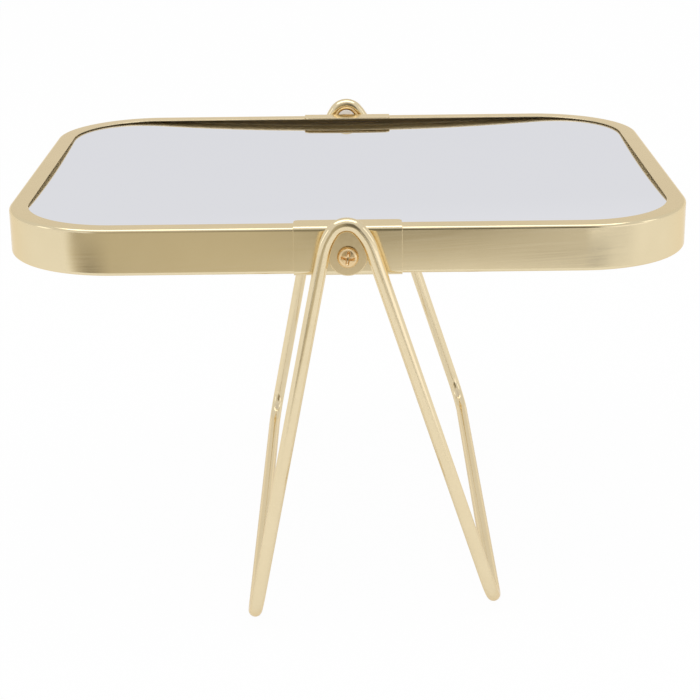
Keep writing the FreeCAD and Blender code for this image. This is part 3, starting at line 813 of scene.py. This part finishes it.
def painted_wall_reflection(tree, place, axes):
    """Painted reflection of the dim wall of the room, darker on the right, fading out upwards and to the
    sides.
    """
    left = soft_step(tree, axes["X"], *WALL_LEFT_FADE)
    right = soft_step(tree, axes["X"], *WALL_RIGHT_FADE)
    top = soft_step(tree, axes["Z"], *WALL_TOP_FADE)
    change = soft_step(tree, axes["X"], *WALL_TONE_CHANGE)
    return tint(tree, change, WALL_LEFT_TONE, WALL_RIGHT_TONE), all_of(tree, left, right, top)


wall = upright_corners((WALL_LEFT, APRON_FAR), (WALL_RIGHT, APRON_FAR), 0, WALL_TOP)
reflected_card("room_wall", wall, painted_wall_reflection)

# Painted highlight at the right: a white card that glows brighter than white and lights nothing
WHITE = (1.0, 1.0, 1.0)
REFLECTOR_START, REFLECTOR_END, REFLECTOR_TOP = (0.30, -0.53), (0.54, -0.13), 0.17
REFLECTOR_NEAR_FADE, REFLECTOR_FAR_FADE, REFLECTOR_TOP_FADE = (-0.52, -0.44), (-0.14, -0.22), (0.16, 0.10)
REFLECTOR_HIGHLIGHT_TONE = (1.25, 1.25, 1.3)


def right_highlight_shade(tree, place, axes):
    """Painted highlight from a white card, brightest at its middle."""
    near = soft_step(tree, axes["Y"], *REFLECTOR_NEAR_FADE)
    far = soft_step(tree, axes["Y"], *REFLECTOR_FAR_FADE)
    top = soft_step(tree, axes["Z"], *REFLECTOR_TOP_FADE)
    cover = all_of(tree, near, far, top)
    return tint(tree, cover, WHITE, REFLECTOR_HIGHLIGHT_TONE), cover


right_highlight_card = upright_corners(REFLECTOR_START, REFLECTOR_END, 0, REFLECTOR_TOP)
reflected_card("right_highlight_card", right_highlight_card, right_highlight_shade)

# Painted highlights at both sides: cards that glow like soft boxes and light nothing
BOX_DISTANCE = 1.1
BOX_NEAR, BOX_FAR, BOX_LOW, BOX_HIGH = -0.5, 0.05, 0.15, 0.9
BOX_NEAR_FADE, BOX_FAR_FADE = (-0.45, -0.32), (0.0, -0.13)
BOX_LOW_FADE, BOX_HIGH_FADE = (0.2, 0.35), (0.85, 0.65)
BOX_HIGHLIGHT_TONE = (1.5, 1.53, 1.56)


def painted_box_shade(tree, place, axes):
    """Painted highlight of a soft box, fading at its edges."""
    near = soft_step(tree, axes["Y"], *BOX_NEAR_FADE)
    far = soft_step(tree, axes["Y"], *BOX_FAR_FADE)
    low = soft_step(tree, axes["Z"], *BOX_LOW_FADE)
    high = soft_step(tree, axes["Z"], *BOX_HIGH_FADE)
    cover = all_of(tree, near, far, low, high)
    return tint(tree, cover, WHITE, BOX_HIGHLIGHT_TONE), cover


for side, x in (("left", -BOX_DISTANCE), ("right", BOX_DISTANCE)):
    box = upright_corners((x, BOX_NEAR), (x, BOX_FAR), BOX_LOW, BOX_HIGH)
    reflected_card(f"painted_box_highlight_{side}", box, painted_box_shade)

# Lamp over the table
LAMP_PLACE, LAMP_TARGET = Vector((0, -0.1, 1.1)), Vector((0, -0.1, 0))
LAMP_WIDTH, LAMP_DEPTH = 1.4, 0.55
LAMP_RADIANCE = 1.5


def overhead_lamp():
    """Soft lamp that looks down on the table, as bright from below as its radiance says."""
    data = bpy.data.lights.new("overhead", "AREA")
    data.shape = "RECTANGLE"
    data.size = LAMP_WIDTH
    data.size_y = LAMP_DEPTH
    data.energy = LAMP_RADIANCE * math.pi * LAMP_WIDTH * LAMP_DEPTH
    lamp = bpy.data.objects.new("overhead", data)
    scene.collection.objects.link(lamp)
    lamp.location = LAMP_PLACE
    lamp.rotation_euler = (LAMP_TARGET - LAMP_PLACE).to_track_quat("-Z", "Y").to_euler()


overhead_lamp()


def make_camera():
    """Camera that looks at its target, turned, pitched and rolled."""
    ahead = Vector((
        math.sin(CAMERA_YAW) * math.cos(CAMERA_PITCH),
        math.cos(CAMERA_YAW) * math.cos(CAMERA_PITCH),
        -math.sin(CAMERA_PITCH),
    ))
    level = Vector((math.cos(CAMERA_YAW), -math.sin(CAMERA_YAW), 0))
    upright = level.cross(ahead)
    right = level * math.cos(CAMERA_ROLL) + upright * math.sin(CAMERA_ROLL)
    up = upright * math.cos(CAMERA_ROLL) - level * math.sin(CAMERA_ROLL)
    data = bpy.data.cameras.new("camera")
    data.lens = CAMERA_LENS_MM
    data.clip_start = CAMERA_CLIP
    camera = bpy.data.objects.new("camera", data)
    scene.collection.objects.link(camera)
    turn = Matrix((right, up, -ahead)).transposed().to_4x4()
    camera.matrix_world = Matrix.Translation(CAMERA_TARGET - ahead * CAMERA_DISTANCE) @ turn
    scene.camera = camera


make_camera()
